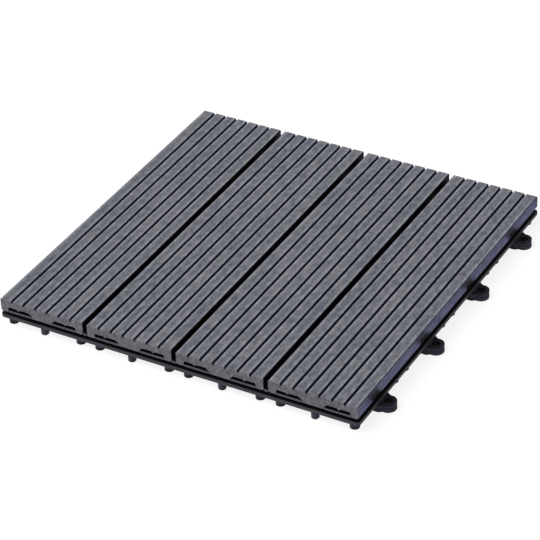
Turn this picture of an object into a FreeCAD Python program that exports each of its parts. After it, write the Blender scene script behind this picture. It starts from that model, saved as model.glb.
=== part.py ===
"""Interlocking deck tile: four ribbed composite slats screwed onto one moulded plastic grid.

All sizes are in millimetres. X runs across the slats, Y runs along them and Z points up.
The floor under the feet is Z = 0, and the middle of the whole outline is X = Y = 0.
The loops stand out on the +X and +Y sides, the pegs hang under the -X and -Y sides.
"""
import FreeCAD, Part
import os
from math import sin, tan
from FreeCAD import Vector

# Overall layout
tile_size = 300.0            # outer length of the grid's lower rim, both ways
slat_count = 4               # slats, and also square modules along each side
slat_gap = 4.0               # open gap between two slats
slat_inset = 0.8             # the rim stands out past the slats by this much

# Layers, from the floor up
foot_height = 6.8            # floor to the underside of the ribs and rim
rim_height = 3.3             # lower rim
recess_height = 0.9          # from the rim's top to the deck's underside
deck_thickness = 1.6         # perforated deck that carries the slats
slat_thickness = 10.4

# Slat section
slat_rib_count = 7           # flat ribs across one slat
groove_width = 2.2           # at the mouth
groove_floor_width = 1.2
groove_depth = 2.2
groove_edge_radius = 0.5
slat_top_radius = 0.8
slat_bottom_radius = 1.5
slat_end_chamfer = 0.6       # eased top edge at both sawn ends
slat_core_width = 17.2       # solid middle that takes the screws
slat_leg_width = 6.2         # outer legs
channel_depth = 4.3
channel_corner_radius = 1.3
channel_slope_run = 2.8      # the roof runs down to the core over this width
channel_slope_drop = 2.4
channel_mouth_radius = 0.3
channel_bead_height = 1.3    # small bead that hangs from the channel's roof
channel_bead_width = 3.4
channel_bead_radius = 0.8

# Moulded grid
rim_width = 11.0
rim_corner_radius = 3.0
rim_edge_radius = 0.5
rib_thickness = 2.0
deck_margin = 3.0            # deck that is left on each side of a rib
foot_inset = 8.2             # foot axis to the module's edge
foot_radius = 3.7
foot_chamfer = 0.3
lug_height = 1.6             # locating lugs stand this high on the deck
lug_length = 12.0
lug_lip = 1.8                # thickness of a lug where it reaches past the deck
lug_clearance = 0.4          # to the channel's walls
spacer_clearance = 0.3       # between a slat and the spacer in the gap

# Pegs and loops that join one tile to the next
peg_radius = 3.05
peg_tip_chamfer = 0.8
peg_edge = 0.75              # peg's side to the rim's outer face
floor_clearance = 0.3        # pegs and loops stay this far off the floor
joint_gap = 0.2              # between the rims of two joined tiles
loop_clearance = 0.2         # peg to loop, radial
loop_wall = 3.15
loop_top_clearance = 0.2     # loop to the neighbour's rim above it
loop_flange = 2.0            # upper and lower band of the loop
loop_waist_depth = 0.9
loop_mouth_chamfer = 0.6
arm_root_width = 16.4        # the loop's arm at the rim
arm_reach = 7.0              # how far the arm runs in under the rim

# Screws, driven from below into the slats' cores
screw_head_radius = 3.6
screw_head_height = 2.0
screw_radius = 1.8
screw_tip_length = 3.0
screw_tip_radius = 0.5
screw_cover = 3.2            # slat material left above the screw's tip
pilot_clearance = 0.05       # the shank's side to the slat's pilot hole
pilot_end_clearance = 0.3
shank_clearance = 0.4        # the shank's side to the hole in the grid
head_clearance = 0.4         # the head's side to its counterbore
boss_wall = 1.5
boss_seat_height = 2.2       # depth of the counterbore

# Levels and places that follow from the sizes above
rim_top = foot_height + rim_height
deck_bottom = rim_top + recess_height
deck_top = deck_bottom + deck_thickness
slat_top = deck_top + slat_thickness
half_tile = tile_size / 2
slat_length = tile_size - 2 * slat_inset
slat_width = (slat_length - (slat_count - 1) * slat_gap) / slat_count
module = slat_width + slat_gap
centres = [(i - (slat_count - 1) / 2) * module for i in range(slat_count)]
foot_lines = sorted(c + side * (module / 2 - foot_inset) for c in centres for side in (-1, 1))
rib_lines = sorted(foot_lines + centres)
half_grid = rib_lines[-1] + rib_thickness / 2
channel_inner = slat_core_width / 2
channel_outer = slat_width / 2 - slat_leg_width
peg_inset = peg_radius + peg_edge
loop_offset = peg_inset + joint_gap
loop_hole_radius = peg_radius + loop_clearance
loop_radius = loop_hole_radius + loop_wall
loop_top = foot_height - loop_top_clearance
loop_reach = loop_offset + loop_radius
screw_seat = foot_height + boss_seat_height
screw_tip = slat_top - screw_cover
boss_radius = screw_head_radius + head_clearance + boss_wall
across = Vector(1, 0, 0)
up = Vector(0, 0, 1)


def rounded_outline(corners):
    """Closed wire in the XZ plane through (x, z, radius) corners, each rounded by its radius."""
    spots = [Vector(x, 0, z) for x, z, _ in corners]
    arrive, leave, arcs = [], [], []
    for i, (_, _, radius) in enumerate(corners):
        here = spots[i]
        back = (spots[i - 1] - here).normalize()
        ahead = (spots[(i + 1) % len(spots)] - here).normalize()
        if radius == 0:
            arrive.append(here)
            leave.append(here)
            arcs.append(None)
            continue
        half_angle = back.getAngle(ahead) / 2
        middle = (back + ahead).normalize()
        centre = here + middle * (radius / sin(half_angle))
        arrive.append(here + back * (radius / tan(half_angle)))
        leave.append(here + ahead * (radius / tan(half_angle)))
        arcs.append(Part.Arc(arrive[-1], centre - middle * radius, leave[-1]).toShape())
    edges = []
    for i, arc in enumerate(arcs):
        if (arrive[i] - leave[i - 1]).Length > 1e-6:
            edges.append(Part.LineSegment(leave[i - 1], arrive[i]).toShape())
        if arc:
            edges.append(arc)
    return Part.Wire(edges)


def box(x_low, x_high, y_low, y_high, z_low, z_high):
    """Box between two corners."""
    return Part.makeBox(x_high - x_low, y_high - y_low, z_high - z_low, Vector(x_low, y_low, z_low))


def turned(profile):
    """Solid turned about Z from an outline of (radius, z) points."""
    wire = Part.makePolygon([Vector(r, 0, z) for r, z in profile + profile[:1]])
    return Part.Face(wire).revolve(Vector(0, 0, 0), up, 360)


def rectangle(x_low, x_high, y_low, y_high, z):
    """Closed rectangular wire at one level."""
    corners = [(x_low, y_low), (x_high, y_low), (x_high, y_high), (x_low, y_high), (x_low, y_low)]
    return Part.makePolygon([Vector(x, y, z) for x, y in corners])


def perforated_plate(half_size, margin, z_low, z_high):
    """Square plate with one rectangular window in every cell of the rib grid."""
    outline = rectangle(-half_size, half_size, -half_size, half_size, z_low)
    spans = [(low + margin, high - margin) for low, high in zip(rib_lines, rib_lines[1:])]
    windows = [rectangle(*span_x, *span_y, z_low) for span_x in spans for span_y in spans]
    face = Part.makeFace([outline] + windows, "Part::FaceMakerBullseye")
    return face.extrude(up * (z_high - z_low))


def at_each(shape, places):
    """Copies of a shape, one at each (x, y) place."""
    return [shape.translated(Vector(x, y, 0)) for x, y in places]


# Slats
def half_channel_corners(side):
    """Corners of one channel's outline, from the core outwards, on the side -1 or 1."""
    roof = channel_depth
    bead = (channel_inner + channel_slope_run + channel_outer) / 2
    return [
        (side * channel_inner, 0, channel_mouth_radius),
        (side * channel_inner, roof - channel_slope_drop, channel_corner_radius),
        (side * (channel_inner + channel_slope_run), roof, channel_corner_radius),
        (side * (bead - channel_bead_width / 2), roof, channel_mouth_radius),
        (side * bead, roof - channel_bead_height, channel_bead_radius),
        (side * (bead + channel_bead_width / 2), roof, channel_mouth_radius),
        (side * channel_outer, roof, channel_corner_radius),
        (side * channel_outer, 0, channel_mouth_radius),
    ]


def groove_corners(x):
    """Corners of one top groove's outline, from right to left."""
    floor = slat_thickness - groove_depth
    return [
        (x + groove_width / 2, slat_thickness, groove_edge_radius),
        (x + groove_floor_width / 2, floor, 0),
        (x - groove_floor_width / 2, floor, 0),
        (x - groove_width / 2, slat_thickness, groove_edge_radius),
    ]


def slat_section():
    """Section of one slat, standing on Z = 0 with its middle at X = 0."""
    corners = [(-slat_width / 2, 0, slat_bottom_radius)]
    corners += reversed(half_channel_corners(-1))
    corners += half_channel_corners(1)
    corners.append((slat_width / 2, 0, slat_bottom_radius))
    corners.append((slat_width / 2, slat_thickness, slat_top_radius))
    rib_pitch = slat_width / slat_rib_count
    for i in range(slat_rib_count - 1, 0, -1):
        corners += groove_corners(i * rib_pitch - slat_width / 2)
    corners.append((-slat_width / 2, slat_thickness, slat_top_radius))
    return Part.Face(rounded_outline(corners))


def end_prism(x, side):
    """Prism that eases the top edge at one end of a slat, on the side -1 or 1."""
    end = side * slat_length / 2
    left = x - slat_width / 2
    corners = [
        Vector(left, end, slat_top),
        Vector(left, end - side * slat_end_chamfer, slat_top),
        Vector(left, end, slat_top - slat_end_chamfer),
        Vector(left, end, slat_top),
    ]
    return Part.Face(Part.makePolygon(corners)).extrude(across * slat_width)


def slat(x):
    """One slat lying on the deck, with eased ends and a blind pilot hole over each screw."""
    section = slat_section()
    section.translate(Vector(x, -slat_length / 2, deck_top))
    body = section.extrude(Vector(0, slat_length, 0))
    hole_depth = screw_tip + pilot_end_clearance - deck_top
    hole = Part.makeCylinder(screw_radius + pilot_clearance, hole_depth, Vector(0, 0, deck_top))
    holes = at_each(hole, [(x, y) for y in centres])
    return body.cut(holes + [end_prism(x, side) for side in (-1, 1)])


# Screws
def screw():
    """One screw, head down, with its head's upper side on the boss's seat."""
    head_bottom = screw_seat - screw_head_height
    return turned([
        (0, head_bottom),
        (screw_head_radius, head_bottom),
        (screw_head_radius, screw_seat),
        (screw_radius, screw_seat),
        (screw_radius, screw_tip - screw_tip_length),
        (screw_tip_radius, screw_tip),
        (0, screw_tip),
    ])


def screw_hole():
    """Counterbore and clearance hole for one screw, as a solid to cut away."""
    return turned([
        (0, foot_height),
        (screw_head_radius + head_clearance, foot_height),
        (screw_head_radius + head_clearance, screw_seat),
        (screw_radius + shank_clearance, screw_seat),
        (screw_radius + shank_clearance, deck_top),
        (0, deck_top),
    ])


# Moulded grid
def rim():
    """Lower rim with rounded corners and eased outer edges."""
    block = box(-half_tile, half_tile, -half_tile, half_tile, foot_height, rim_top)
    uprights = [e for e in block.Edges if abs(e.tangentAt(e.FirstParameter).z) > 0.5]
    block = block.makeFillet(rim_corner_radius, uprights)
    levels = [e for e in block.Edges if abs(e.BoundBox.ZMax - e.BoundBox.ZMin) < 1e-6]
    block = block.makeFillet(rim_edge_radius, levels)
    inner = half_tile - rim_width
    return block.cut(box(-inner, inner, -inner, inner, foot_height, rim_top))


def foot():
    """Round foot, eased where it meets the floor."""
    return turned([
        (0, 0),
        (foot_radius - foot_chamfer, 0),
        (foot_radius, foot_chamfer),
        (foot_radius, foot_height),
        (0, foot_height),
    ])


def peg():
    """Round peg under the rim, with a lead-in at its tip."""
    return turned([
        (0, floor_clearance),
        (peg_radius - peg_tip_chamfer, floor_clearance),
        (peg_radius, floor_clearance + peg_tip_chamfer),
        (peg_radius, foot_height),
        (0, foot_height),
    ])


def loop():
    """Waisted loop on a flared arm, for the middle of the +X side of a module at Y = 0."""
    waist_radius = loop_radius - loop_waist_depth
    waist_low = floor_clearance + loop_flange + loop_waist_depth
    waist_high = loop_top - loop_flange - loop_waist_depth
    spool = turned([
        (0, floor_clearance),
        (loop_radius, floor_clearance),
        (loop_radius, floor_clearance + loop_flange),
        (waist_radius, waist_low),
        (waist_radius, waist_high),
        (loop_radius, loop_top - loop_flange),
        (loop_radius, loop_top),
        (0, loop_top),
    ])
    spool.translate(across * (half_tile + loop_offset))
    root = half_tile - arm_reach
    tip = half_tile + loop_offset
    arm_plan = Part.makePolygon([
        Vector(root, -arm_root_width / 2, floor_clearance),
        Vector(half_tile, -arm_root_width / 2, floor_clearance),
        Vector(tip, -waist_radius, floor_clearance),
        Vector(tip, waist_radius, floor_clearance),
        Vector(half_tile, arm_root_width / 2, floor_clearance),
        Vector(root, arm_root_width / 2, floor_clearance),
        Vector(root, -arm_root_width / 2, floor_clearance),
    ])
    arm = Part.Face(arm_plan).extrude(up * (loop_top - floor_clearance))
    inner_arm = box(root, half_tile, -arm_root_width / 2, arm_root_width / 2, loop_top, foot_height)
    hole = turned([
        (0, floor_clearance),
        (loop_hole_radius, floor_clearance),
        (loop_hole_radius, loop_top - loop_mouth_chamfer),
        (loop_hole_radius + loop_mouth_chamfer, loop_top),
        (0, loop_top),
    ])
    hole.translate(across * (half_tile + loop_offset))
    return spool.fuse([arm, inner_arm]).cut(hole)


def lugs():
    """Locating lugs at both ends of the channels, and spacers in the gaps between slats."""
    spans = []
    for c in centres:
        for side in (-1, 1):
            ends = (c + side * (channel_inner + lug_clearance), c + side * (channel_outer - lug_clearance))
            spans.append(sorted(ends))
    half_spacer = slat_gap / 2 - spacer_clearance
    for c in centres[1:]:
        spans.append([c - module / 2 - half_spacer, c - module / 2 + half_spacer])
    end = slat_length / 2
    low = deck_top + lug_height - lug_lip
    high = deck_top + lug_height
    front = [box(*span, -end, lug_length - end, low, high) for span in spans]
    back = [box(*span, end - lug_length, end, low, high) for span in spans]
    return front + back


def grid():
    """The whole moulded base: rim, ribs, deck, feet, pegs, loops, lugs and screw bosses."""
    ribs = perforated_plate(half_grid, rib_thickness / 2, foot_height, deck_bottom)
    deck = perforated_plate(half_grid, rib_thickness / 2 + deck_margin, deck_bottom, deck_top)
    boss = Part.makeCylinder(boss_radius, deck_bottom - foot_height, Vector(0, 0, foot_height))
    pieces = [ribs, deck] + lugs()
    pieces += at_each(boss, [(x, y) for x in centres for y in centres])
    pieces += at_each(foot(), [(x, y) for x in foot_lines for y in foot_lines])
    edge = half_tile - peg_inset
    pieces += at_each(peg(), [(c, -edge) for c in centres] + [(-edge, c) for c in centres])
    pieces += at_each(loop(), [(0, c) for c in centres])
    back_loop = loop().rotated(Vector(0, 0, 0), up, 90)
    pieces += at_each(back_loop, [(c, 0) for c in centres])
    body = rim().fuse(pieces)
    holes = at_each(screw_hole(), [(x, y) for x in centres for y in centres])
    return body.cut(holes).removeSplitter()


def write(name, shape):
    """Write one node, moved so that the middle of the whole outline is the origin."""
    shape.translate(Vector(-loop_reach / 2, -loop_reach / 2, 0))
    shape.exportStep(os.path.join("parts", name + ".step"))
    print(name, len(shape.Solids), "solids", round(shape.Volume), "mm3", "valid", shape.isValid())


os.makedirs("parts", exist_ok=True)
base = grid()
write("base_grid", base.Solids[0] if len(base.Solids) == 1 else base)
for number, x in enumerate(centres, start=1):
    write("slat_%d" % number, slat(x))
screws = at_each(screw(), [(x, y) for x in centres for y in centres])
write("slat_screws", Part.makeCompound(screws))
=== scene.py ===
# %% [markdown]
# # Interlocking deck tile
# The real tile is a square of four grooved slats, extruded from wood-plastic composite,
# screwed from below onto one moulded grid of black plastic. Round feet carry the grid, pegs
# hang under two of its sides and loops stand out on the other two, so tiles click together.
# The packed model gives every piece at its true size and place. This script gives the pieces
# their finishes, models the screws in full, and sets up the light and the camera.

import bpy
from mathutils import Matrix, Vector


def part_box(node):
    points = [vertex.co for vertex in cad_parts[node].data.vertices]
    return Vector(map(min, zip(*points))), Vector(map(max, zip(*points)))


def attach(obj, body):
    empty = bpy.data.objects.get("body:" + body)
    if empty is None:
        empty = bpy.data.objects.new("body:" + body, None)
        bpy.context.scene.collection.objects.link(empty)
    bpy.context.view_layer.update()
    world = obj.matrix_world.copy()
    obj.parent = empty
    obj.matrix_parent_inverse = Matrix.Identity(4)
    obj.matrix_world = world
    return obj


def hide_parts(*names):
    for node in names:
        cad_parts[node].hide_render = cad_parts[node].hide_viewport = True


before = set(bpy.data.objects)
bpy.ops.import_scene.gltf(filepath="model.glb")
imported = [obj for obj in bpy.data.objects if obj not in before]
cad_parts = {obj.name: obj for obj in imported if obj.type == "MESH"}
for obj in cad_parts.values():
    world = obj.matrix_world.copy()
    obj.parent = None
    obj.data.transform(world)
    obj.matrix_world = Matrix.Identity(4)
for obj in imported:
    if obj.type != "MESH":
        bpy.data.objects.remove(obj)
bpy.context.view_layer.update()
print("nodes:", sorted(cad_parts))

# %% [markdown]
# ## Measures
# Blender works in metres. The patterns on the slats are easier to think about in millimetres,
# so the places that they need are read from the nodes here, once, and named.

# %% Read the slats' places
import bpy
from mathutils import Vector

MM = 0.001
slat_names = sorted(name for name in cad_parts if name.removeprefix("slat_").isdigit())
slat_boxes = [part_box(name) for name in slat_names]
slat_middles = [(low + high) / 2 for low, high in slat_boxes]
slat_size = slat_boxes[0][1] - slat_boxes[0][0]
slat_top = slat_boxes[0][1].z
tile_middle = (slat_boxes[0][0] + slat_boxes[-1][1]) / 2
print("slats:", len(slat_names), "each", [round(side / MM, 1) for side in slat_size], "mm")

# %% [markdown]
# ## Camera
# The picture looks down on the front right corner from about two metres away through a long
# lens, so the far edge is only a little shorter than the near one. The camera is placed by its
# own position, the point that it looks at and a small roll. Aiming with a tracking rotation
# and then turning about the line of sight keeps the three apart and easy to change.

# %% Place the camera
from math import radians
from mathutils import Matrix

CAMERA_PLACE = Vector((823.0, -1404.5, 1117.5)) * MM
CAMERA_AIM = Vector((7.1, -34.5, 23.0)) * MM
CAMERA_ROLL = -2.68
CAMERA_LENS = 173.0
SENSOR_WIDTH = 36.0

bpy.ops.object.select_all(action="DESELECT")
bpy.ops.object.camera_add(location=CAMERA_PLACE)
camera = bpy.context.object
camera.name = "photo_camera"
camera.data.sensor_width = SENSOR_WIDTH
camera.data.lens = CAMERA_LENS
line_of_sight = (CAMERA_AIM - CAMERA_PLACE).to_track_quat("-Z", "Y").to_matrix()
roll = Matrix.Rotation(radians(CAMERA_ROLL), 3, "Z")
camera.rotation_euler = (line_of_sight @ roll).to_euler()
bpy.context.scene.camera = camera
print("camera distance in m:", round((CAMERA_AIM - CAMERA_PLACE).length, 3))

# %% [markdown]
# ## Nodes from Python
# A finish is a small program made of shader nodes. Wiring every Math node by hand hides the
# idea, so a Wire stands for one output socket and understands plus, minus and times. Each
# operator adds the Math node that does the same. Noise wavers around a half, so a Wire can
# also swing around zero by a given share, ready to be added to a value.

# %% Define the wire


class Wire:
    """One output socket, usable in arithmetic."""

    def __init__(self, finish, socket):
        self.finish = finish
        self.socket = socket

    def __add__(self, other):
        return self.finish.maths("ADD", self, other)

    __radd__ = __add__

    def __sub__(self, other):
        return self.finish.maths("SUBTRACT", self, other)

    def __rsub__(self, other):
        return self.finish.maths("SUBTRACT", other, self)

    def __mul__(self, other):
        return self.finish.maths("MULTIPLY", self, other)

    __rmul__ = __mul__

    def swing(self, share):
        """The same noise around zero instead of a half, and scaled."""
        return (self - 0.5) * share


print("a wire understands plus, minus, times and swing")

# %% [markdown]
# All other nodes come from one method, Finish.node, which takes the node's type, its settings
# and the values or wires of its sockets. The few methods after it only give its most common
# uses a name. A mask is a value from 0 to 1 that says where a finish lies, and most masks here
# are steps: they rise from 0 to 1 over a short span of some distance.

# %% Define the finish


class Finish:
    """The nodes of one material, or of the world, built one by one."""

    def __init__(self, owner):
        owner.use_nodes = True
        self.owner = owner
        self.tree = owner.node_tree
        self.tree.nodes.clear()

    def node(self, kind, settings=None, sockets=None, output=0):
        """Adds a node, sets it up, fills its sockets and returns one of its outputs."""
        made = self.tree.nodes.new(kind)
        for name, value in (settings or {}).items():
            setattr(made, name, value)
        for key, value in (sockets or {}).items():
            if isinstance(value, Wire):
                self.tree.links.new(value.socket, made.inputs[key])
            else:
                made.inputs[key].default_value = value
        return Wire(self, made.outputs[output]) if made.outputs else None

    def maths(self, operation, first, second=0.0):
        """Arithmetic on wires and numbers."""
        return self.node("ShaderNodeMath", {"operation": operation}, {0: first, 1: second})

    def step(self, value, low, high):
        """Rises smoothly from 0 at low to 1 at high."""
        sockets = {"Value": value, "From Min": low, "From Max": high}
        return self.node("ShaderNodeMapRange", {"interpolation_type": "SMOOTHSTEP"}, sockets)

    def mix(self, share, first, second):
        """Colour between two colours."""
        sockets = {0: share, 6: first, 7: second}
        return self.node("ShaderNodeMix", {"data_type": "RGBA"}, sockets, output=2)

    def axes(self, place):
        """The x, y and z of a place."""
        sockets = {0: place}
        return [self.node("ShaderNodeSeparateXYZ", {}, sockets, output=axis) for axis in range(3)]

    def eye(self):
        """1 for a ray from the camera, a mirror or through glass, 0 for one that only lights."""
        kinds = ["Is %s Ray" % kind for kind in ("Camera", "Glossy", "Transmission")]
        paths = [self.node("ShaderNodeLightPath", output=kind) for kind in kinds]
        return self.maths("MINIMUM", paths[0] + paths[1] + paths[2], 1.0)


print("a finish can add:", [name for name in vars(Finish) if not name.startswith("_")])

# %% [markdown]
# ## Colours as seen
# Colours are easiest to name as a screen shows them, from 0 to 255, but the renderer adds light
# in linear values. One helper turns the first into the second.

# %% Turn screen colours into linear ones


def screen(red, green, blue):
    """Linear colour, with alpha, of a colour as a screen shows it."""

    def linear(value):
        share = value / 255
        return share / 12.92 if share <= 0.04045 else ((share + 0.055) / 1.055) ** 2.4

    return (linear(red), linear(green), linear(blue), 1.0)


print("mid grey in linear light:", round(screen(118, 120, 126)[1], 3))

# %% [markdown]
# ## Places on a piece
# A pattern that follows an object reads its object coordinates. A Mapping node moves their
# zero to a chosen point and counts in millimetres, so a noise of scale 1 has features of about
# a millimetre. A second Mapping node stretches the space again for grain that runs one way.

# %% Define the coordinates


def places(finish, zero):
    """Object coordinates in millimetres from a point that is given in metres."""
    here = finish.node("ShaderNodeTexCoord", output="Object")
    sockets = {"Vector": here, "Location": -zero / MM, "Scale": (1 / MM, 1 / MM, 1 / MM)}
    return finish.node("ShaderNodeMapping", {}, sockets)


def noise(finish, place, stretch, detail, roughness):
    """Noise whose features are about 1 / stretch millimetres long along each axis."""
    spot = finish.node("ShaderNodeMapping", {}, {"Vector": place, "Scale": stretch})
    sockets = {"Vector": spot, "Scale": 1.0, "Detail": detail, "Roughness": roughness}
    return finish.node("ShaderNodeTexNoise", {}, sockets)


print("patterns count in steps of", MM, "m")

# %% [markdown]
# ## From patterns to a surface
# Every finish ends with the same few steps, or some of them. A tone around 1 lightens or darkens
# the colour, which makes it uneven without a change of hue, a bump catches the light on relief
# that is too fine to model, and one surface shader takes them in. Matt plastics reflect little,
# so both of them share one low specular level.

# %% Define the tone, the relief and the surface
MATT_SPECULAR = 0.12


def toned(finish, colour, tone):
    """Colour times a grey of the given tone."""
    grey = finish.node("ShaderNodeCombineColor", {}, {0: tone, 1: tone, 2: tone})
    settings = {"data_type": "RGBA", "blend_type": "MULTIPLY"}
    return finish.node("ShaderNodeMix", settings, {0: 1.0, 6: colour, 7: grey}, output=2)


def relief(finish, height, strength, depth):
    """Bump for a surface's Normal, from a height of 0 to 1 that stands for depth millimetres."""
    sockets = {"Strength": strength, "Distance": depth * MM, "Height": height}
    return finish.node("ShaderNodeBump", {}, sockets)


def surface(finish, sockets):
    """Ends a material with one surface shader and returns the material."""
    shader = finish.node("ShaderNodeBsdfPrincipled", {}, sockets)
    finish.node("ShaderNodeOutputMaterial", {}, {"Surface": shader})
    return finish.owner


print("specular level of matt plastic:", MATT_SPECULAR)

# %% [markdown]
# ## Composite slats
# Wood-plastic composite leaves the extruder with a dark, smooth skin. The tops are then brushed,
# which opens the skin to a lighter grey full of fine lengthwise scratches and wood fibres. Below
# the brush the skin stays near black, which is partly its own colour and partly painted shade in
# the gaps, the channels and along the slats' long top edges, and only a trace of bluish dust lies
# in the grooves. The underside is dusty too. A painted highlight lightens the ribs beside their
# edges. The ends are sawn, and show the raw mix, warm and speckled. The two outer sides get a
# painted bluish tint that stands for a bluish fill light, lighter near the bottom edge, and on
# the side with the loops a painted shadow slants dark beside each loop. An image could show all
# this for one slat only. Masks made from a slat's own measures fit every slat, and each pair of
# numbers below is a span, in millimetres, over which a mask rises from 0 to 1.

# %% Measure the slats' pattern
RIB_COUNT = 7

rib_pitch = slat_size.x / MM / RIB_COUNT
half_width = slat_size.x / MM / 2
half_length = slat_size.y / MM / 2
thickness = slat_size.z / MM
print("rib pitch in mm:", round(rib_pitch, 2))

# %% [markdown]
# The grain is six noises. Streaks, fibres and scratches are drawn out along the slat, as the
# brush and the extruder leave them, while blotches and clouds are the slower changes of a mix
# that is never quite even. Each line below gives the features per millimetre across, along and
# down the slat, then the detail and the roughness of the noise. The board shift reads each
# slat's grain far away in the noise, so no two slats share it.

# %% Choose the composite's grain
STREAKS = ((1.1, 0.06, 0.3), 3.0, 0.6)
BLOTCHES = ((0.28, 0.16, 0.25), 3.0, 0.6)
CLOUDS = ((0.05, 0.02, 0.03), 1.0, 0.5)
FIBRES = ((1.6, 0.6, 1.6), 2.0, 0.7)
SCRATCHES = ((5.0, 0.05, 1.0), 3.0, 0.65)
GRAIN = ((2.5, 1.2, 2.5), 3.0, 0.6)
BOARD_SHIFT = 37.0
print("length of the blotches in mm:", round(1 / BLOTCHES[0][1], 1))

# %% [markdown]
# Every mask needs the same few distances: across the slat, along it and down from its top. They
# are made once for each slat, with its grain and with the depth at which the brush stopped, and
# kept with its finish.

# %% Gather a slat's distances and grain
BRUSH_END = (0.12, 0.6)


class SlatFinish(Finish):
    """The nodes of one slat's finish, with its distances in millimetres and its grain."""

    def __init__(self, name, middle):
        super().__init__(bpy.data.materials.new(name))
        place = places(self, Vector((middle.x, middle.y, slat_top)))
        self.x, self.y, height = self.axes(place)
        self.depth = 0 - height
        self.off_middle = self.maths("ABSOLUTE", self.x)
        self.below_brush = self.step(self.depth, *BRUSH_END)
        sockets = {0: place, 1: (0, 0, BOARD_SHIFT * middle.x / MM)}
        board = self.node("ShaderNodeVectorMath", {"operation": "ADD"}, sockets)
        self.streaks = noise(self, board, *STREAKS)
        self.blotches = noise(self, board, *BLOTCHES)
        self.clouds = noise(self, board, *CLOUDS)
        self.fibres = noise(self, board, *FIBRES)
        self.scratches = noise(self, board, *SCRATCHES)
        self.grain = noise(self, board, *GRAIN)


print("depth is counted down from a height in mm of", round(slat_top / MM, 1))

# %% [markdown]
# The dark band along a slat's two top edges, skin and partly painted shade, isn't equally wide on
# all slats, so its widths are given for each. The mask takes the larger of two distances, to the
# left and to the right, and steps up where the brush stopped.

# %% Keep the edges black
EDGE_BLUR = 0.25


def skin_and_shade(finish, edge_dark_widths):
    """1 where the brush didn't reach, below the top and along its long edges, partly painted
    shade.
    """
    left_dark, right_dark = edge_dark_widths
    past_dark = finish.maths("MAXIMUM", finish.x + right_dark, left_dark - finish.x)
    edge_dark = finish.step(past_dark, half_width - EDGE_BLUR, half_width + EDGE_BLUR)
    return finish.maths("MAXIMUM", finish.below_brush, edge_dark)


print("blur of the skin's edge in mm:", 2 * EDGE_BLUR)

# %% [markdown]
# The painted highlight lies beside the edges of the ribs. Folding the distance across the slat
# back and forth by half a rib gives the distance to the nearest groove for all ribs at once. The
# fold would take the slat's own sides for grooves too, so on the outer ribs the distance to the
# side is used, which starts further in where the dark edge band is wider than usual. The outer
# ribs get a little more of the highlight.

# %% Paint the highlights beside the rib edges
GROOVE_HALF = 0.9
USUAL_EDGE_DARK = 0.4
HIGHLIGHT_SHARE = 0.75
HIGHLIGHT_OUTER = 0.2
HIGHLIGHT_END = (1.1, 3.1)

outer_start = (half_width - rib_pitch / 2 - 0.1, half_width - rib_pitch / 2 + 0.1)


def painted_rib_highlight(finish, edge_dark_widths):
    """How much painted highlight the tops get, most beside the edges of the ribs."""
    to_groove = finish.maths("PINGPONG", finish.x + half_width, rib_pitch / 2)
    outer_rib = finish.step(finish.off_middle, *outer_start)
    from_groove = to_groove - GROOVE_HALF + outer_rib * rib_pitch
    left_shift, right_shift = [max(skin - USUAL_EDGE_DARK, 0.0) for skin in edge_dark_widths]
    sideways = finish.maths("MAXIMUM", finish.x + right_shift, left_shift - finish.x)
    from_edge = finish.maths("MINIMUM", from_groove, half_width - sideways)
    beside_edge = 1 - finish.step(from_edge, *HIGHLIGHT_END)
    return beside_edge * (1 - finish.below_brush) * (outer_rib * HIGHLIGHT_OUTER + HIGHLIGHT_SHARE)


print("polish fades out", HIGHLIGHT_END[1], "mm from a rib's edge")

# %% [markdown]
# The top's grey is cool in some patches and warm in others, so the blotches choose between two
# greys. The painted highlight and the dark skin with its painted shade go over them.

# %% Colour the top
BRUSHED = screen(106, 109, 121)
BRUSHED_WARM = screen(112, 112, 116)
RIB_HIGHLIGHT = screen(138, 140, 149)
SKIN_AND_SHADE = screen(4, 4, 6)
WARM_CLOUDS = 0.3
WARM_SPAN = (0.38, 0.62)


def top_colour(finish, edge_dark_widths):
    """Brushed greys with a painted highlight, black skin and painted shade where the brush didn't
    reach.
    """
    warm = finish.step(finish.blotches + finish.clouds.swing(WARM_CLOUDS), *WARM_SPAN)
    colour = finish.mix(warm, BRUSHED, BRUSHED_WARM)
    colour = finish.mix(painted_rib_highlight(finish, edge_dark_widths), colour, RIB_HIGHLIGHT)
    return finish.mix(skin_and_shade(finish, edge_dark_widths), colour, SKIN_AND_SHADE)


print("brushed top in linear light:", [round(part, 3) for part in BRUSHED[:3]])

# %% [markdown]
# Dust settles where no brush or broom gets it out. In the grooves it ends at their floors, and
# it leaves the slat's outermost edges free.

# %% Lay the dust
GROOVE_DUST = screen(42, 42, 68)
SKIN_BELOW = screen(74, 72, 78)
GROOVE_DEPTH = 2.2
GROOVE_END = (GROOVE_DEPTH, GROOVE_DEPTH + 0.3)

ribs_end = (half_width - 3.5, half_width - 2.5)
bottom_start = (thickness - 0.15, thickness - 0.05)


def dusted(finish, colour):
    """A colour with dust over it, in the grooves and on the underside."""
    among_ribs = 1 - finish.step(finish.off_middle, *ribs_end)
    above_floor = 1 - finish.step(finish.depth, *GROOVE_END)
    in_groove = finish.below_brush * among_ribs * above_floor
    colour = finish.mix(in_groove, colour, GROOVE_DUST)
    return finish.mix(finish.step(finish.depth, *bottom_start), colour, SKIN_BELOW)


print("grooves are dusty down to", GROOVE_DEPTH, "mm")

# %% [markdown]
# Beside each loop a painted shadow slants down along the side. The distance from a slanting line,
# roughened with the blotches, gives a painted shadow with a ragged edge that grows darker towards
# the bottom.

# %% Paint the shadows beside the loops
MARK_SLANT = 1.07
MARK_SHIFT = 17.0
MARK_RAGGED = 5.0
MARK_AT_TOP = 0.6
MARK_PER_MM = 0.06
MARK_END = (3.0, 12.0)


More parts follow.
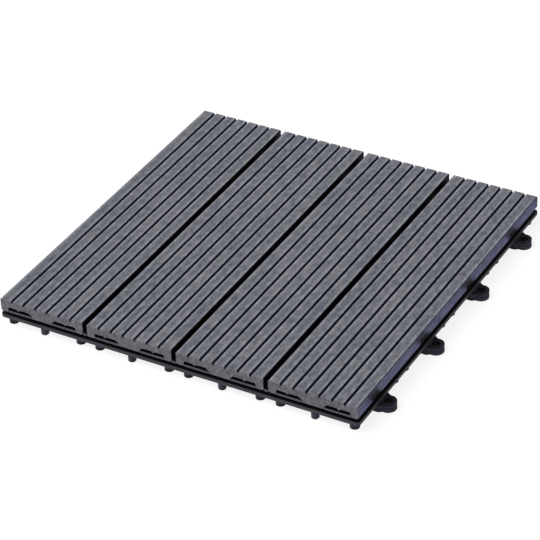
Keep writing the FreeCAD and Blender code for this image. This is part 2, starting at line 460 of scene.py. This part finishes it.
def painted_shadow_mask(finish, mark_place):
    """How dark the painted shadow is, around a slanting line beside one loop."""
    from_line = finish.y - finish.depth * MARK_SLANT - (mark_place - MARK_SHIFT)
    away = finish.maths("ABSOLUTE", from_line) + finish.blotches.swing(MARK_RAGGED)
    return (1 - finish.step(away, *MARK_END)) * (finish.depth * MARK_PER_MM + MARK_AT_TOP)


print("marks fade out", MARK_END[1], "mm from their middle line")

# %% [markdown]
# Only a side that faces out of the tile gets the painted bluish tint, lighter towards the bottom.
# Distance across the slat, times the side's sign, is large on that side alone, and times 0 it is
# large nowhere.

# %% Tint the outer side
BLUISH_SIDE = screen(113, 114, 147)
BLUISH_SIDE_LOW = screen(126, 127, 163)
# Colour of the painted shadows beside the loops.
PAINTED_SHADOW = screen(5, 5, 10)
BLUISH_SIDE_FADE = (0.5, 8.0)

tinted_start = (half_width - 1.7, half_width - 1.2)


def tinted_side(finish, colour, outer_side, mark_places):
    """A colour with the outer side's painted bluish tint over it, and the painted shadows on that
    side.
    """
    tinted = finish.step(finish.x * outer_side, *tinted_start) * finish.below_brush
    tinted_colour = finish.mix(finish.step(finish.depth, *BLUISH_SIDE_FADE), BLUISH_SIDE, BLUISH_SIDE_LOW)
    colour = finish.mix(tinted, colour, tinted_colour)
    for mark_place in mark_places:
        mark = painted_shadow_mask(finish, mark_place) * tinted
        colour = finish.mix(mark, colour, PAINTED_SHADOW)
    return colour


print("planed side in linear light:", [round(part, 3) for part in BLUISH_SIDE[:3]])

# %% [markdown]
# The saw opens the mix, so the ends show its fibres as specks of two warm greys.

# %% Saw the ends
SAWN = screen(124, 121, 128)
SAWN_DARK = screen(103, 100, 107)
FIBRE_SPAN = (0.35, 0.7)

sawn_start = (half_length - 0.75, half_length - 0.55)


def sawn_ends(finish, colour):
    """A colour with the raw mix over it at both ends."""
    sawn = finish.mix(finish.step(finish.fibres, *FIBRE_SPAN), SAWN_DARK, SAWN)
    at_end = finish.step(finish.maths("ABSOLUTE", finish.y), *sawn_start)
    return finish.mix(at_end, colour, sawn)


print("ends lie, in mm from the middle, at", round(half_length, 1))

# %% [markdown]
# One function makes the finish for each slat, because every slat is cut from another place on
# the board: its blotches lie elsewhere and its tone differs slightly. Colours are laid on one
# over the other, as far as each mask reaches. The tones say how much of each noise lightens or
# darkens them, and the scratches and the grain are also felt as a shallow relief.

# %% Define the composite
STREAK_TONE = 0.9
BLOTCH_TONE = 1.45
CLOUD_TONE = 0.35
FIBRE_TONE = 1.3
SCRATCH_HEIGHT = 0.6
GRAIN_HEIGHT = 0.4
BRUSHED_STRENGTH = 0.35
BRUSHED_RELIEF = 0.15
BRUSHED_ROUGHNESS = 0.72
SKIN_SMOOTHER = 0.06
GRAIN_ROUGHNESS = 0.3


def composite(name, middle, lightness, edge_dark_widths, outer_side, mark_places):
    """Finish of one slat.

    The edge widths are, in mm, those of the dark skin, partly painted shade, along the top's left
    and right edges. outer_side is -1 or 1 where a long side faces out of the tile, else 0.
    mark_places says how far along the slat, in mm from its middle, that side carries painted
    shadows.
    """
    finish = SlatFinish(name, middle)
    colour = dusted(finish, top_colour(finish, edge_dark_widths))
    colour = tinted_side(finish, colour, outer_side, mark_places)
    colour = sawn_ends(finish, colour)
    tone = finish.streaks.swing(STREAK_TONE) + finish.blotches.swing(BLOTCH_TONE)
    tone = tone + finish.clouds.swing(CLOUD_TONE) + finish.fibres.swing(FIBRE_TONE) + lightness
    heights = finish.scratches * SCRATCH_HEIGHT + finish.grain * GRAIN_HEIGHT
    roughness = BRUSHED_ROUGHNESS - finish.below_brush * SKIN_SMOOTHER
    sockets = {
        "Base Color": toned(finish, colour, tone),
        "Roughness": roughness + finish.grain.swing(GRAIN_ROUGHNESS),
        "Normal": relief(finish, heights, BRUSHED_STRENGTH, BRUSHED_RELIEF),
        "Specular IOR Level": MATT_SPECULAR,
    }
    return surface(finish, sockets)


print("deepest scratch in mm:", BRUSHED_RELIEF)

# %% Give each slat its finish
SLAT_LIGHTNESS = [1.015, 1.0, 1.0, 0.985]
# Widths of the dark band along each slat's top edges: skin, partly painted shade.
EDGE_DARK_WIDTHS = [(-0.3, 0.4), (0.75, 0.4), (0.75, 0.4), (0.75, 0.6)]
loop_places = [(middle.x - tile_middle.x) / MM for middle in slat_middles]
for number, (name, middle) in enumerate(zip(slat_names, slat_middles)):
    outer_side = {0: -1, len(slat_names) - 1: 1}.get(number, 0)
    marks = loop_places if outer_side == 1 else []
    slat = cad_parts[name]
    slat.data.materials.clear()
    looks = (SLAT_LIGHTNESS[number], EDGE_DARK_WIDTHS[number], outer_side, marks)
    slat.data.materials.append(composite("composite_%d" % (number + 1), middle, *looks))
print("finished slats:", slat_names)

# %% [markdown]
# ## Moulded grid
# The grid is black polypropylene from a mould with a fine spark-eroded texture. The plastic
# isn't quite black: handling and stacking scuff the rim to a bluish grey in soft patches. The
# feet and pegs are scuffed less, and a painted shade makes them nearly black at their lower ends.
# The loops, which stand clear of the rim, are scuffed least. From the rim's top edge up to the
# deck under the slats, and on the lugs' tops, the plastic is painted black as shade. The end
# faces of the locating lugs, flush with the slats' ends, get a painted light, palest of all, and
# it runs down over the deck's edge. Height tells most of these places apart, so a few smooth
# steps along Z are enough. A low bump at a quarter of a millimetre gives the mould's texture,
# and the roughness varies with it.

# %% Measure the grid
RIM_PAST_SLATS = 0.8

module = (slat_middles[1].x - slat_middles[0].x) / MM
rim_half = (slat_boxes[-1][1].x - slat_boxes[0][0].x) / MM / 2 + RIM_PAST_SLATS
print("rim half width in mm:", round(rim_half, 1), "module in mm:", round(module, 1))

# %% [markdown]
# What repeats with the modules is found by folding the long direction back and forth by one
# module, as with the ribs. At the loops it gives the distance from the nearest loop's middle,
# so one mask paints all their holes black as shade. The loops' flat tops are darkened as well.

# %% Find the loops
LOOP_OFFSET = 4.0
LOOP_TOP_BLACK = 0.7
LOOP_TOP_START = (5.4, 6.4)
HOLE_END = (3.35, 3.75)

outside_start = (rim_half + 0.1, rim_half + 0.6)


def loop_masks(finish, x, y, z):
    """Two masks: all that stands out past the rim, and the loops' dark tops and holes painted as
    shade.
    """
    outward = finish.maths("MAXIMUM", x, y)
    outside = finish.step(outward, *outside_start)
    along = finish.maths("PINGPONG", finish.maths("MINIMUM", x, y), module / 2)
    sockets = {0: outward - (rim_half + LOOP_OFFSET), 1: module / 2 - along}
    offset = finish.node("ShaderNodeCombineXYZ", {}, sockets)
    length = {"operation": "LENGTH"}
    from_hole = finish.node("ShaderNodeVectorMath", length, {0: offset}, output=1)
    in_hole = outside * (1 - finish.step(from_hole, *HOLE_END))
    on_top = outside * finish.step(z, *LOOP_TOP_START) * LOOP_TOP_BLACK
    return outside, finish.maths("MAXIMUM", on_top, in_hole)


print("middle of the loops in mm:", round(rim_half + LOOP_OFFSET, 1))

# %% [markdown]
# The same fold gives the distance from the nearest gap between two slats. The lugs stand in the
# gaps and in the slats' channels, and only their faces at the slats' ends get a painted light.

# %% Find the lugs' end faces
GAP_END = (1.8, 2.2)
CHANNEL_START = (8.4, 8.8)
CHANNEL_END = (28.6, 29.0)
LUG_START = (11.4, 12.0)

face_start = (half_length - 0.2, half_length - 0.1)


def lug_faces(finish, x, y, z):
    """1 on the lugs' faces at the slats' ends and on the deck's edge below them."""
    from_gap = finish.maths("PINGPONG", x, module / 2)
    at_gap = 1 - finish.step(from_gap, *GAP_END)
    at_channel = finish.step(from_gap, *CHANNEL_START)
    at_channel = at_channel * (1 - finish.step(from_gap, *CHANNEL_END))
    at_face = finish.step(finish.maths("ABSOLUTE", y), *face_start)
    return (at_gap + at_channel) * at_face * finish.step(z, *LUG_START)


print("channels in mm from a gap:", CHANNEL_START[1], "to", CHANNEL_END[0])

# %% [markdown]
# The heights at which one finish gives way to the next are spans too: the feet's painted shade
# at their lower ends, the rim from its lower to its upper edge, where the painted shade under
# the slats starts, the top of the deck, and the tops of the lugs. The texture, the patches of
# the scuff and the flow of the plastic in the mould are three noises.

# %% Choose the plastic's colours and heights
# Of these colours the blackest and the feet's lowest are painted shade, and the lugs' is painted
# light.
PLASTIC_BLACK = screen(3, 3, 5)
PLASTIC_LOOP = screen(58, 55, 70)
PLASTIC_FOOT = screen(65, 63, 79)
PLASTIC_FOOT_SHADED = screen(10, 9, 15)
PLASTIC_RIM = screen(69, 67, 76)
PLASTIC_LUG_LIT = screen(92, 90, 99)
FOOT_SHADE_SPAN = (0.8, 3.0)
RIM_START = (6.7, 6.9)
RIM_END = (9.75, 10.0)
DECK_END = (12.6, 12.7)
LUG_END = (14.05, 14.15)
print("scuffed rim in linear light:", [round(part, 3) for part in PLASTIC_RIM[:3]])

# %% Choose the plastic's texture
TEXTURE = ((4.0, 4.0, 4.0), 2.0, 0.6)
PATCHES = ((0.06, 0.06, 0.15), 3.0, 0.6)
FLOW = ((0.4, 0.4, 0.8), 2.0, 0.5)
PATCH_TONE = 0.9
FLOW_TONE = 0.5
PLASTIC_STRENGTH = 0.25
PLASTIC_RELIEF = 0.08
PLASTIC_ROUGHNESS = 0.5
BLACKENED_ROUGHER = 0.15
ROUGHNESS_SWING = 0.2
print("size of the mould's texture in mm:", 1 / TEXTURE[0][0])

# %% Define the moulded plastic


def moulded_plastic(name):
    """Finish of the grid."""
    finish = Finish(bpy.data.materials.new(name))
    place = places(finish, Vector((tile_middle.x, tile_middle.y, 0)))
    x, y, z = finish.axes(place)
    texture = noise(finish, place, *TEXTURE)
    patches = noise(finish, place, *PATCHES)
    flow = noise(finish, place, *FLOW)

    outside, loop_black = loop_masks(finish, x, y, z)
    # Painted shade: the feet and pegs darken towards their lower ends.
    colour = finish.mix(finish.step(z, *FOOT_SHADE_SPAN), PLASTIC_FOOT_SHADED, PLASTIC_FOOT)
    colour = finish.mix(finish.step(z, *RIM_START), colour, PLASTIC_RIM)
    colour = finish.mix(outside, colour, PLASTIC_LOOP)

    # Painted shade: black under the slats, on the lugs' tops and in the loops' holes; the loops'
    # tops are darkened too.
    under_slats = finish.step(z, *RIM_END) * (1 - finish.step(z, *DECK_END))
    on_lugs = finish.step(z, *LUG_END)
    blackened = finish.maths("MAXIMUM", under_slats + on_lugs, loop_black)
    colour = finish.mix(blackened, colour, PLASTIC_BLACK)
    # Painted light: the lugs' end faces in the channels get a paler colour.
    lit_lug_faces = lug_faces(finish, x, y, z) * (1 - on_lugs)
    colour = finish.mix(lit_lug_faces, colour, PLASTIC_LUG_LIT)

    tone = patches.swing(PATCH_TONE) + flow.swing(FLOW_TONE) + 1.0
    roughness = patches.swing(ROUGHNESS_SWING) + texture.swing(ROUGHNESS_SWING)
    roughness = roughness + blackened * BLACKENED_ROUGHER + PLASTIC_ROUGHNESS
    sockets = {
        "Base Color": toned(finish, colour, tone),
        "Roughness": roughness,
        "Normal": relief(finish, texture, PLASTIC_STRENGTH, PLASTIC_RELIEF),
        "Specular IOR Level": MATT_SPECULAR,
    }
    return surface(finish, sockets)


print("relief of the mould's texture in mm:", PLASTIC_RELIEF)

# %% Give the grid its finish
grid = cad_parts["base_grid"]
grid.data.materials.clear()
grid.data.materials.append(moulded_plastic("moulded_plastic"))
print("grid faces:", len(grid.data.polygons))

# %% [markdown]
# ## Screws
# Sixteen small steel screws, driven from below through the grid, hold the slats. The packed
# model has them as plain shanks. Someone who turns the tile over sees the heads, so the screw
# gets its real form: a rounded head with a cross recess, a core, a drawn-out tip and a helical
# thread. One screw is modelled upright at the origin, head down, in three pieces, and copied.
# Every piece is a primitive that is shaped further in edit mode, where two helpers select what
# the next operator acts on: one object, or the points of a mesh that lie in a certain place.

# %% Define the selections


def select_only(piece):
    """Selects one object and nothing else."""
    bpy.ops.object.select_all(action="DESELECT")
    bpy.context.view_layer.objects.active = piece
    piece.select_set(True)


def select_points(piece, wanted):
    """In edit mode, selects the points whose place, in millimetres, passes the test."""
    bpy.ops.mesh.select_all(action="DESELECT")
    bpy.ops.object.mode_set(mode="OBJECT")
    for point in piece.data.vertices:
        point.select = wanted(point.co / MM)
    bpy.ops.object.mode_set(mode="EDIT")


# %% [markdown]
# The head is a cylinder whose lower rim is bevelled round. Its inner face stays flat, because it
# sits in a flat counterbore of the grid.

# %% Turn the head
HEAD_RADIUS = 3.6
HEAD_HEIGHT = 2.0
HEAD_SIDES = 32
HEAD_ROUNDING = 1.3
ROUNDING_STEPS = 4
ROUNDING_PROFILE = 0.6
SLACK = 0.1

bpy.ops.object.select_all(action="DESELECT")
bpy.ops.mesh.primitive_cylinder_add(
    vertices=HEAD_SIDES,
    radius=HEAD_RADIUS * MM,
    depth=HEAD_HEIGHT * MM,
    location=(0, 0, HEAD_HEIGHT / 2 * MM),
)
head = bpy.context.object
bpy.ops.object.transform_apply(location=True)
bpy.ops.object.mode_set(mode="EDIT")
bpy.ops.mesh.select_mode(type="VERT")
select_points(head, lambda place: place.z < SLACK)
bpy.ops.mesh.bevel(
    offset=HEAD_ROUNDING * MM, segments=ROUNDING_STEPS, profile=ROUNDING_PROFILE, affect="EDGES"
)
bpy.ops.object.mode_set(mode="OBJECT")
print("head faces:", len(head.data.polygons))

# %% [markdown]
# The recess is cut with two bars that cross and taper inwards. A Boolean cuts it with exact,
# sharp corners, which extruded faces on the rounded head would not give as easily.

# %% Cut the cross recess
RECESS_SPAN = 4.2
RECESS_WIDTH = 1.0
RECESS_DEPTH = 1.3
RECESS_TAPER = 0.6

for width, length in ((RECESS_SPAN, RECESS_WIDTH), (RECESS_WIDTH, RECESS_SPAN)):
    bpy.ops.object.select_all(action="DESELECT")
    bpy.ops.mesh.primitive_cube_add(size=2 * RECESS_DEPTH * MM)
    bar = bpy.context.object
    bpy.ops.object.mode_set(mode="EDIT")
    bpy.ops.mesh.select_mode(type="VERT")
    bpy.ops.transform.resize(value=(width / 2 / RECESS_DEPTH, length / 2 / RECESS_DEPTH, 1))
    select_points(bar, lambda place: place.z > 0)
    bpy.ops.transform.resize(value=(RECESS_TAPER, RECESS_TAPER, 1))
    bpy.ops.object.mode_set(mode="OBJECT")
    select_only(head)
    cut = head.modifiers.new("recess", "BOOLEAN")
    cut.operation = "DIFFERENCE"
    cut.object = bar
    bpy.ops.object.modifier_apply(modifier=cut.name)
    bpy.data.objects.remove(bar)
print("head faces with the recess:", len(head.data.polygons))

# %% [markdown]
# The core is a cylinder that starts inside the head, so no seam can open between them, and ends
# where the packed screw does. Its far end is extruded twice and shrunk each time, which draws
# out the tip.

# %% Draw out the core
CORE_RADIUS = 1.25
CORE_SIDES = 20
CORE_OVERLAP = 0.2
TIP_LENGTH = 3.0
TIP_STEPS = ((0.6, 0.62), (0.4, 0.3))

screws_low, screws_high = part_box("slat_screws")
screw_length = (screws_high.z - screws_low.z) / MM
core_length = screw_length - HEAD_HEIGHT - TIP_LENGTH
bpy.ops.object.select_all(action="DESELECT")
bpy.ops.mesh.primitive_cylinder_add(
    vertices=CORE_SIDES,
    radius=CORE_RADIUS * MM,
    depth=(core_length + CORE_OVERLAP) * MM,
    location=(0, 0, (HEAD_HEIGHT + core_length / 2 - CORE_OVERLAP / 2) * MM),
)
core = bpy.context.object
bpy.ops.object.transform_apply(location=True)
bpy.ops.object.mode_set(mode="EDIT")
bpy.ops.mesh.select_mode(type="VERT")
select_points(core, lambda place: place.z > HEAD_HEIGHT + core_length - SLACK)
for share, size in TIP_STEPS:
    rise = {"value": (0, 0, share * TIP_LENGTH * MM)}
    bpy.ops.mesh.extrude_region_move(TRANSFORM_OT_translate=rise)
    bpy.ops.transform.resize(value=(size, size, 1))
bpy.ops.object.mode_set(mode="OBJECT")
print("core length in mm:", round(core.dimensions.z / MM, 2))

# %% [markdown]
# The thread is a small triangle that the Screw modifier carries round and up. Its two ends are
# then filled, because the modifier leaves them open.

# %% Wind the thread
THREAD_RADIUS = 1.8
THREAD_SIZE = 0.45
THREAD_START = 1.0
THREAD_PITCH = 1.6
THREAD_TURNS = 4
THREAD_STEPS = 16

bpy.ops.object.select_all(action="DESELECT")
bpy.ops.mesh.primitive_circle_add(
    vertices=3,
    radius=THREAD_SIZE * MM,
    location=((THREAD_RADIUS - THREAD_SIZE) * MM, 0, (HEAD_HEIGHT + THREAD_START) * MM),
    rotation=(radians(90), radians(90), 0),
)
thread = bpy.context.object
bpy.ops.object.transform_apply(location=True, rotation=True)
wind = thread.modifiers.new("wind", "SCREW")
wind.axis = "Z"
wind.screw_offset = THREAD_PITCH * MM
wind.iterations = THREAD_TURNS
wind.steps = THREAD_STEPS
wind.render_steps = THREAD_STEPS
bpy.ops.object.modifier_apply(modifier=wind.name)
bpy.ops.object.mode_set(mode="EDIT")
bpy.ops.mesh.select_all(action="SELECT")
bpy.ops.mesh.fill_holes(sides=3)
bpy.ops.mesh.select_all(action="SELECT")
bpy.ops.mesh.normals_make_consistent(inside=False)
bpy.ops.object.mode_set(mode="OBJECT")
thread_reach = max(point.co.xy.length for point in thread.data.vertices) / MM
print("thread outer radius in mm:", round(thread_reach, 2))

# %% [markdown]
# ## Steel of the screws
# The screws are zinc plated. Zinc is a bright metal that dulls unevenly, so metallic stays full
# while the colour and the roughness wander in patches of a millimetre or two. The screw is then
# joined, smoothed where its faces meet at a shallow angle, and copied to its sixteen places.

# %% Define the steel
ZINC = screen(176, 177, 182)
ZINC_DULL = screen(136, 137, 139)
DULL_PATCHES = ((0.6, 0.6, 0.6), 3.0, 0.6)
DULL_SPAN = (0.35, 0.65)
DULL_ROUGHNESS = 0.4
TURNING_MARKS = ((1.5, 1.5, 9.0), 2.0, 0.5)
TURNED_ROUGHNESS = 0.2
TURNED_STRENGTH = 0.2
TURNED_RELIEF = 0.05
ZINC_ROUGHNESS = 0.36


def zinc_steel(name):
    """Finish of the screws."""
    finish = Finish(bpy.data.materials.new(name))
    place = places(finish, Vector((tile_middle.x, tile_middle.y, 0)))
    dull = noise(finish, place, *DULL_PATCHES)
    turned = noise(finish, place, *TURNING_MARKS)
    sockets = {
        "Base Color": finish.mix(finish.step(dull, *DULL_SPAN), ZINC, ZINC_DULL),
        "Metallic": 1.0,
        "Roughness": dull.swing(DULL_ROUGHNESS) + turned.swing(TURNED_ROUGHNESS) + ZINC_ROUGHNESS,
        "Normal": relief(finish, turned, TURNED_STRENGTH, TURNED_RELIEF),
    }
    return surface(finish, sockets)


print("bright zinc in linear light:", [round(part, 3) for part in ZINC[:3]])

# %% Join the screw
SMOOTH_ANGLE = 35.0

bpy.ops.object.select_all(action="DESELECT")
for piece in (thread, core, head):
    piece.select_set(True)
bpy.context.view_layer.objects.active = head
bpy.ops.object.join()
bpy.ops.object.shade_smooth_by_angle(angle=radians(SMOOTH_ANGLE))
screw = bpy.context.object
screw.data.materials.append(zinc_steel("zinc_steel"))
print("screw size in mm:", [round(side / MM, 1) for side in screw.dimensions])

# %% Copy the screw to its places
count = 0
for middle in slat_middles:
    for along in loop_places:
        select_only(screw)
        bpy.ops.object.duplicate()
        placed = bpy.context.object
        placed.location = (middle.x, tile_middle.y + along * MM, screws_low.z)
        bpy.ops.object.transform_apply(location=True)
        count += 1
        placed.name = "screw_%d" % count
        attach(placed, "root")
        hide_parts("slat_screws")
bpy.data.objects.remove(screw)
print("screws placed:", count)

# %% [markdown]
# ## Floor
# The tile stands on a plain pale floor. To the lamps it is an ordinary matt white surface that
# throws light back up. To the camera it adds a steady glow that lifts it to paper white, and
# only a part of its colour still answers to the light, so the contact shadow stays but is soft.
# Light Path tells the two apart, and mirrors see what the camera sees. Far in under the tile
# the glow fades out, a painted shade where no lamp reaches the floor, so the gaps between the
# slats show darkness, not paper. From below, the floor would hide the tile, so its back is
# transparent, and a ray that has passed through the floor once may do so again. The sky then
# lights the underside, and a look from underneath shows the ribs, the feet and the screws.

# %% Mix the floor's paper
FLOOR_WHITE = 0.60
SHADOW_SHARE = 0.20
FLOOR_GLOW = 0.845
GLOW_REACH = 11.0
GLOW_END = 22.0


def grey(level):
    """Linear grey, with alpha."""
    return (level, level, level, 1.0)


paper = Finish(bpy.data.materials.new("studio_paper"))
lamp_sees = paper.node("ShaderNodeBsdfDiffuse", {}, {"Color": grey(FLOOR_WHITE)})
shade = paper.node("ShaderNodeBsdfDiffuse", {}, {"Color": grey(SHADOW_SHARE)})
across, along = paper.axes(places(paper, Vector((0, 0, 0))))[:2]
aside = [paper.maths("ABSOLUTE", distance) for distance in (across, along)]
from_middle = paper.maths("MAXIMUM", aside[0], aside[1])
# Painted shade: the glow fades out far in under the tile.
open_floor = paper.step(from_middle, rim_half - GLOW_END, rim_half - GLOW_REACH)
white = paper.mix(open_floor, grey(0.0), grey(1.0))
glow = paper.node("ShaderNodeEmission", {}, {"Color": white, "Strength": FLOOR_GLOW})
eye_sees = paper.node("ShaderNodeAddShader", {}, {0: shade, 1: glow})
both = paper.node("ShaderNodeMixShader", {}, {0: paper.eye(), 1: lamp_sees, 2: eye_sees})
from_below = paper.node("ShaderNodeNewGeometry", output="Backfacing")
passed_before = paper.node("ShaderNodeLightPath", output="Transparent Depth")
lets_through = paper.maths("MINIMUM", from_below + passed_before, 1.0)
clear = paper.node("ShaderNodeBsdfTransparent")
whole = paper.node("ShaderNodeMixShader", {}, {0: lets_through, 1: both, 2: clear})
paper.node("ShaderNodeOutputMaterial", {}, {"Surface": whole})
print("floor glows from", GLOW_REACH, "mm inside the rim outwards")

# %% [markdown]
# The floor is one large plane. It lies a fiftieth of a millimetre under the feet, because two
# faces in one plane would flicker.

# %% Lay the floor
FLOOR_SIZE = 14.0
FLOOR_DROP = 0.02

bpy.ops.object.select_all(action="DESELECT")
floor_place = (tile_middle.x, tile_middle.y, -FLOOR_DROP * MM)
bpy.ops.mesh.primitive_plane_add(size=FLOOR_SIZE, location=floor_place)
floor = bpy.context.object
floor.name = "studio_floor"
floor.data.materials.append(paper.owner)
print("floor side in m:", FLOOR_SIZE)

# %% [markdown]
# ## Light
# A soft key lamp stands high on the front left, so the tops are brightest, the sawn ends a
# little darker and the right side clearly in shade. An even white sky fills the rest. A sun lamp
# with a wide angle works as a large soft box and lights the whole tile alike. Its strength is
# set so that a matt surface that faces up shows the colour that it was given.

# %% Light the tile
from math import pi

SKY = 0.42
KEY = 0.71
KEY_FROM = Vector((-0.22, -0.28, 0.5))
KEY_DISTANCE = 4
KEY_SOFTNESS = 40.0

sky = Finish(bpy.data.worlds.new("studio_sky"))
background = sky.node("ShaderNodeBackground", {}, {"Strength": SKY + sky.eye() * (1 - SKY)})
sky.node("ShaderNodeOutputWorld", {}, {"Surface": background})
bpy.context.scene.world = sky.owner

bpy.ops.object.select_all(action="DESELECT")
bpy.ops.object.light_add(type="SUN", location=KEY_FROM * KEY_DISTANCE)
key = bpy.context.object
key.name = "key_lamp"
key.data.energy = KEY * pi
key.data.angle = radians(KEY_SOFTNESS)
key.rotation_euler = (-KEY_FROM).to_track_quat("-Z", "Y").to_euler()
bpy.context.scene.view_settings.view_transform = "Standard"
print("key strength:", round(key.data.energy, 2))

# %% [markdown]
